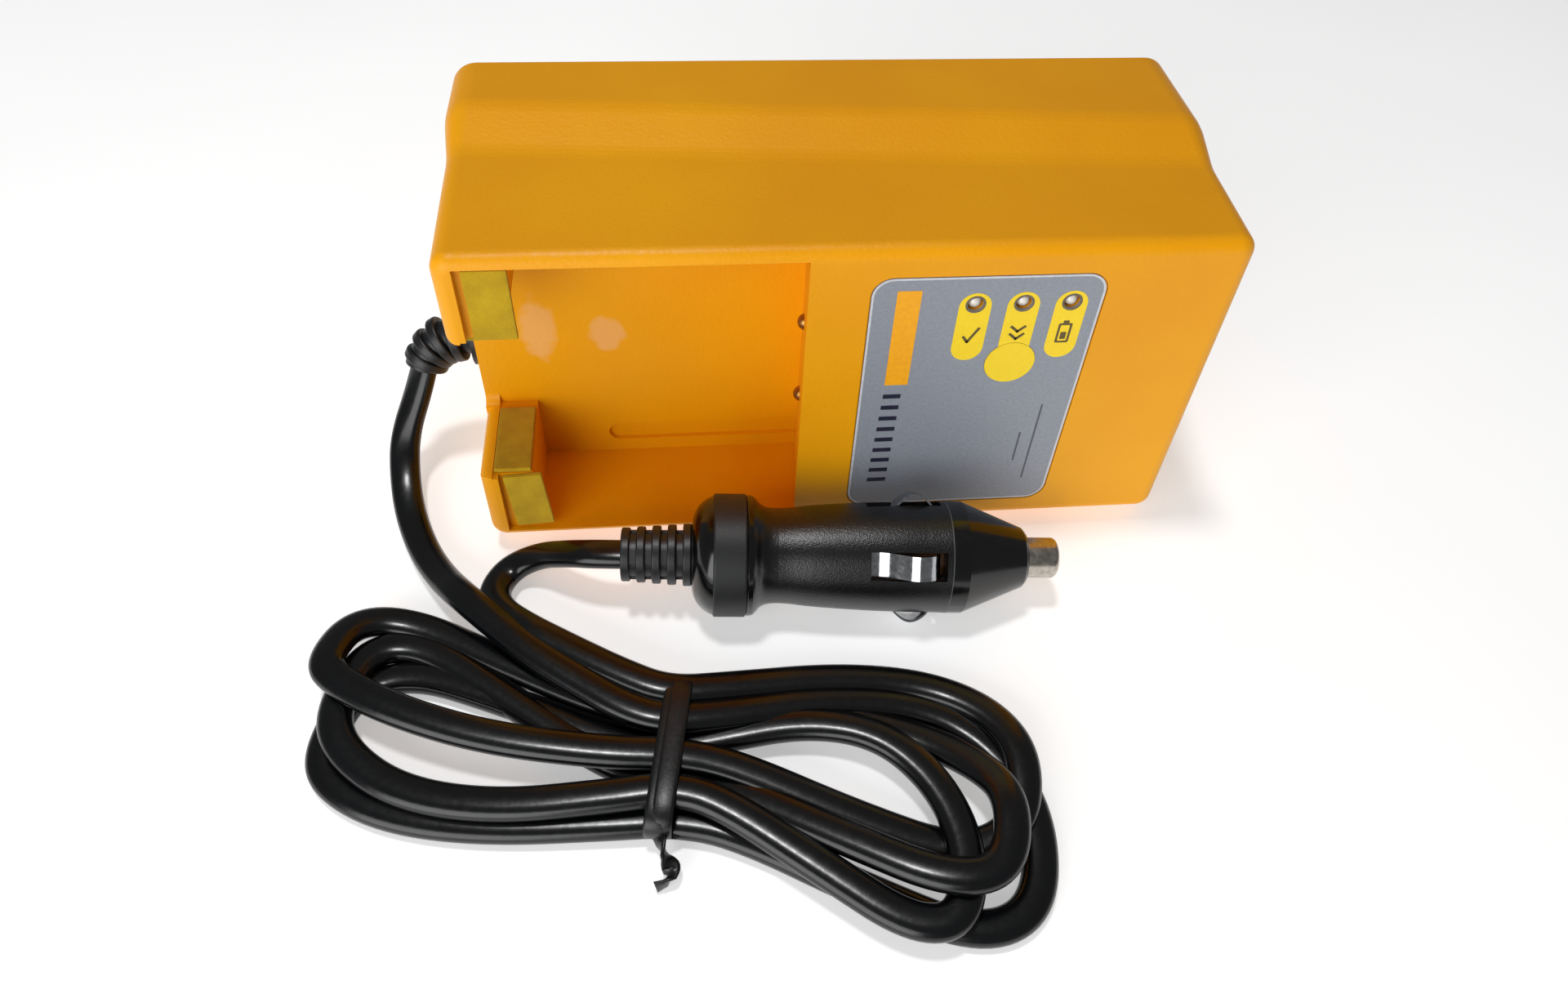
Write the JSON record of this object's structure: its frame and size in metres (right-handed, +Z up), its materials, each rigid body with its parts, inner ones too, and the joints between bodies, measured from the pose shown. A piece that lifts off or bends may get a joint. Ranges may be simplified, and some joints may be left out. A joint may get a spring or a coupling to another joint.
{
  "type": "car battery charger",
  "caption": "Orange charger for a handheld battery pack, with an open battery bay, indicator lamps, a round key and a hanked black cord to a car socket plug.",
  "frame": {"origin": "centre of the housing's footprint, on the surface that its long side stands on", "axes": "+X along the housing away from the cord, -Y out of the face with the battery bay, +Z up"},
  "size_m": [0.1625, 0.1406, 0.072],
  "materials": {
    "orange_plastic": "satin, fine moulded grain",
    "steel_screw": "zinc plated",
    "grey_film": "satin printed film",
    "yellow_key": "smooth",
    "dark_plastic": "moulded",
    "board_green": "lacquered laminate",
    "winding_copper": "enamelled winding",
    "can_sleeve": "shrunk sleeve",
    "sink_aluminium": "extruded",
    "terminal_green": "moulded",
    "wire_red": "insulation",
    "wire_black": "insulation",
    "contact_brass": "dulled",
    "spring_steel": "drawn wire",
    "pad_felt": "mustard felt",
    "lamp_clear": "clear",
    "black_pvc": "glossy black PVC",
    "plug_plastic": "black, fine grain on the barrel",
    "grip_rubber": "matt",
    "nickel": "nickel plated",
    "fuse_glass": "clear",
    "sleeve_plastic": "natural nylon",
    "clip_chrome": "plated spring steel"
  },
  "bodies": {
    "charger": {"housing": "orange_plastic", "base_plate": "orange_plastic", "base_screws": "steel_screw", "board_screws": "steel_screw", "label_overlay": "grey_film", "key_switch_body": "dark_plastic", "power_transistor": "dark_plastic", "control_chip": "dark_plastic", "contact_carrier": "dark_plastic", "circuit_board": "board_green", "inductor": "winding_copper", "capacitors": "can_sleeve", "heat_sink": "sink_aluminium", "wire_terminal": "terminal_green", "wire_positive": "wire_red", "wire_negative": "wire_black", "plug_rear_contact": "contact_brass", "contact_spring_upper": "spring_steel", "contact_spring_lower": "spring_steel", "plug_spring": "spring_steel", "pad_face_upper": "pad_felt", "pad_face_lower": "pad_felt", "pad_side_upper": "pad_felt", "pad_side_lower": "pad_felt", "lamp_ready": "lamp_clear", "lamp_fast": "lamp_clear", "lamp_charge": "lamp_clear", "cable_gland": "black_pvc", "cord_lead": "black_pvc", "cord_hank": "black_pvc", "cord_plug_lead": "black_pvc", "cord_tie": "black_pvc", "plug_strain_relief": "black_pvc", "plug_body": "plug_plastic", "plug_nose_cap": "plug_plastic", "plug_grip_band": "grip_rubber", "plug_fuse_sleeve": "sleeve_plastic", "plug_ground_ring": "clip_chrome"},
    "key": {"fast_key": "yellow_key", "key_switch_plunger": "dark_plastic"},
    "contact_upper": {"battery_contact_upper": "contact_brass"},
    "contact_lower": {"battery_contact_lower": "contact_brass"},
    "plug_centre": {"plug_tip": "nickel", "plug_fuse_glass": "fuse_glass", "plug_fuse_caps": "nickel"},
    "clip_1": {"ground_clip_1": "clip_chrome"},
    "clip_2": {"ground_clip_2": "clip_chrome"},
    "clip_3": {"ground_clip_3": "clip_chrome"},
    "clip_4": {"ground_clip_4": "clip_chrome"}
  },
  "joints": [
    {"name": "key_press", "type": "slide", "parent": "charger", "child": "key", "axis": [0, 1, 0], "range_m": [0, 0.00035], "stiffness_N_per_m": 2000},
    {"name": "contact_upper_press", "type": "slide", "parent": "charger", "child": "contact_upper", "axis": [1, 0, 0], "range_m": [0, 0.0009], "stiffness_N_per_m": 600},
    {"name": "contact_lower_press", "type": "slide", "parent": "charger", "child": "contact_lower", "axis": [1, 0, 0], "range_m": [0, 0.0009], "stiffness_N_per_m": 600},
    {"name": "centre_contact_press", "type": "slide", "parent": "charger", "child": "plug_centre", "axis": [-0.9983, 0.0541, 0.0226], "range_m": [0, 0.0025], "stiffness_N_per_m": 800},
    {"name": "clip_1_press", "type": "hinge", "parent": "charger", "child": "clip_1", "pos_m": [0.00465, -0.03749, 0.01682], "axis": [-0.027, -0.7657, 0.6426], "range_deg": [-8, 0], "stiffness_Nm_per_rad": 0.3},
    {"name": "clip_2_press", "type": "hinge", "parent": "charger", "child": "clip_2", "pos_m": [0.00404, -0.04846, 0.01586], "axis": [-0.052, -0.6409, -0.7659], "range_deg": [-8, 0], "stiffness_Nm_per_rad": 0.3},
    {"name": "clip_3_press", "type": "hinge", "parent": "charger", "child": "clip_3", "pos_m": [0.00384, -0.04748, 0.00487], "axis": [0.027, 0.7657, -0.6426], "range_deg": [-8, 0], "stiffness_Nm_per_rad": 0.3},
    {"name": "clip_4_press", "type": "hinge", "parent": "charger", "child": "clip_4", "pos_m": [0.00445, -0.03651, 0.00583], "axis": [0.052, 0.6409, 0.7659], "range_deg": [-8, 0], "stiffness_Nm_per_rad": 0.3}
  ]
}
